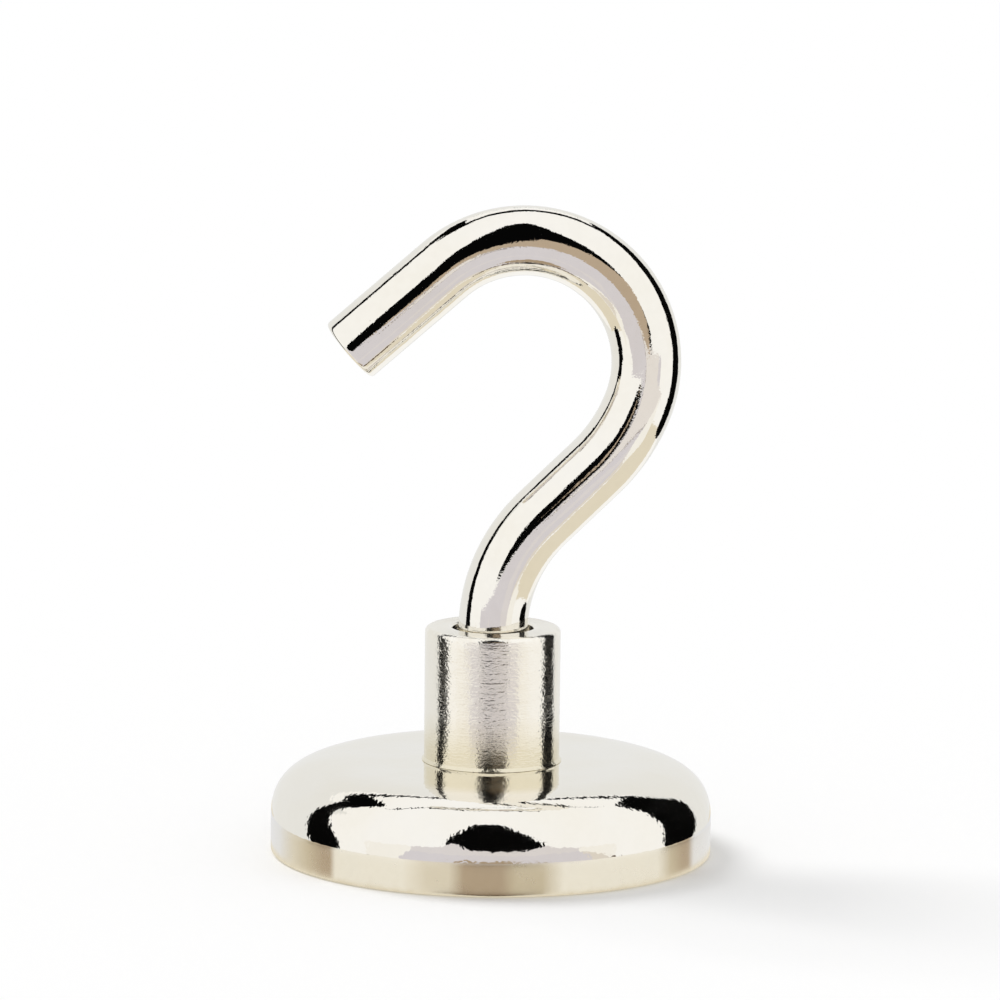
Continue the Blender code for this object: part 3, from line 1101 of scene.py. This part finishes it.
def set_small_cards():
    """The kerb at the plinth's front, the patch and the ring at the pot, and the pale sheet with the
    painted shadow along its seam.
    """
    kerb = [((x, PLINTH_FRONT, SHEET_LEVEL), (x, PLINTH_FRONT, up)) for x, up in KERB_PROFILE]
    card("front_kerb", kerb, GREY_KERB)
    patch = [[(x, PATCH_PLACE - half, 0), (x, PATCH_PLACE + half, 0)] for x, half in BROWN_PATCH]
    card("brown_patch", patch, BROWN, SMOOTHING)
    low_ring()
    # A dark strip of painted shadow along the slanting seam
    slant = [row((x, x + SLANT_SHADOW_WIDTH), away, SLANT_LIFT) for x, away in SLANT]
    card("slant_seam_shadow", slant, SEAM_SHADOW)
    pale = [
        row((x + SLANT_SHADOW_WIDTH, right), away, SLANT_LIFT) for (x, away), right in zip(SLANT, SLANT_RIGHT)
    ]
    card("pale_sheet", pale, PALE)


def make_floor():
    """A white floor that catches the shadow, and that reflections don't see."""
    bm = bmesh.new()
    bmesh.ops.create_circle(bm, cap_ends=True, segments=FLOOR_STEPS, radius=FLOOR_RADIUS)
    bmesh.ops.translate(bm, verts=bm.verts, vec=(0, 0, -FLOOR_GAP))
    shade = {"Color": (*WHITE, 1)}
    white = painted("white_floor", lambda tree: add(tree, "BsdfDiffuse", shade).outputs[0])
    floor = placed("floor", bm, [white])
    floor.visible_glossy = False


def make_world():
    """An even surround, white to the camera and in reflections and dimmer as a light."""
    world = bpy.data.worlds.new("studio")
    world.use_nodes = True
    bpy.context.scene.world = world
    tree = world.node_tree
    rays = add(tree, "LightPath").outputs
    seen = calc(tree, "MAXIMUM", rays["Is Camera Ray"], rays["Is Glossy Ray"])
    strength = spread(tree, seen, 0.0, 1.0, 1.0 - LAMP_SHARE, 1.0)
    background = tree.nodes["Background"]
    background.inputs["Color"].default_value = (*WHITE, 1)
    tree.links.new(strength, background.inputs["Strength"])


def make_lamp():
    """One soft lamp from the upper left and behind, which gives the shadow its side."""
    data = bpy.data.lights.new("soft_lamp", "SUN")
    place = direction(LAMP_AZIMUTH, LAMP_RISE)
    data.energy = LAMP_SHARE * math.pi / place.z
    data.angle = math.radians(LAMP_SPREAD)
    lamp = bpy.data.objects.new("soft_lamp", data)
    lamp.rotation_euler = (-place).to_track_quat("-Z", "Y").to_euler()
    lamp.visible_glossy = False
    bpy.context.scene.collection.objects.link(lamp)


def make_camera():
    """The photograph's camera, which becomes the scene's."""
    place = Vector(CAMERA_CENTRE) + direction(0, CAMERA_RISE) * CAMERA_DISTANCE
    data = bpy.data.cameras.new("photo_camera")
    data.lens = CAMERA_LENS
    data.sensor_width = CAMERA_SENSOR
    data.clip_start, data.clip_end = CAMERA_CLIP
    camera = bpy.data.objects.new("photo_camera", data)
    bpy.context.scene.collection.objects.link(camera)
    aim = (Vector(AIM_POINT) - place).to_track_quat("-Z", "Y").to_matrix().to_4x4()
    roll = Matrix.Rotation(math.radians(CAMERA_ROLL), 4, "Z")
    camera.matrix_world = Matrix.Translation(place) @ aim @ roll
    bpy.context.scene.camera = camera


class STAGE_OT_studio(Operator):
    """Make the floor, the light, the cards that the metal reflects, and the camera"""

    bl_idname = "magnetic_hook.studio"
    bl_label = "Studio"

    def execute(self, context):
        make_camera()
        make_world()
        make_lamp()
        make_floor()
        hang_cards()
        lay_plinth()
        lay_side(LEFT)
        lay_side(RIGHT)
        set_small_cards()
        context.scene.view_settings.view_transform = "Standard"
        return {"FINISHED"}


class PANEL_PT_magnetic_hook(bpy.types.Panel):
    """Lists the sizes, the finishes and the operators"""

    bl_idname = "PANEL_PT_magnetic_hook"
    bl_label = "Magnetic Hook"
    bl_space_type = "VIEW_3D"
    bl_region_type = "UI"
    bl_category = "Magnetic Hook"

    def draw(self, context):
        """Draws a box of settings for each group, then a button for each operator."""
        layout = self.layout
        for name, group in GROUPS.items():
            settings = getattr(context.scene, name)
            box = layout.box()
            for key in group.__annotations__:
                box.prop(settings, key)
        for operator in OPERATORS:
            layout.operator(operator.bl_idname)


GROUPS = {
    "hook_pot": PotSizes,
    "hook_boss": BossSizes,
    "hook_wire": WireSizes,
    "hook_finishes": Finishes,
}
OPERATORS = (PIECE_OT_steel_pot, PIECE_OT_magnet, PIECE_OT_boss, PIECE_OT_wire_hook, STAGE_OT_studio)
CLASSES = (*GROUPS.values(), *OPERATORS, PANEL_PT_magnetic_hook)


def register():
    """Adds the classes, and puts each property group on the scene."""
    for made in CLASSES:
        bpy.utils.register_class(made)
    for name, group in GROUPS.items():
        setattr(bpy.types.Scene, name, PointerProperty(type=group))


def unregister():
    """Takes the property groups and the classes away again."""
    for name in GROUPS:
        delattr(bpy.types.Scene, name)
    for made in reversed(CLASSES):
        bpy.utils.unregister_class(made)


def main():
    """Makes the hook and its stage."""
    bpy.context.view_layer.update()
    register()
    bpy.ops.magnetic_hook.steel_pot()
    bpy.ops.magnetic_hook.magnet()
    bpy.ops.magnetic_hook.boss()
    bpy.ops.magnetic_hook.wire_hook()
    bpy.ops.magnetic_hook.studio()


if __name__ == "__main__":
    main()
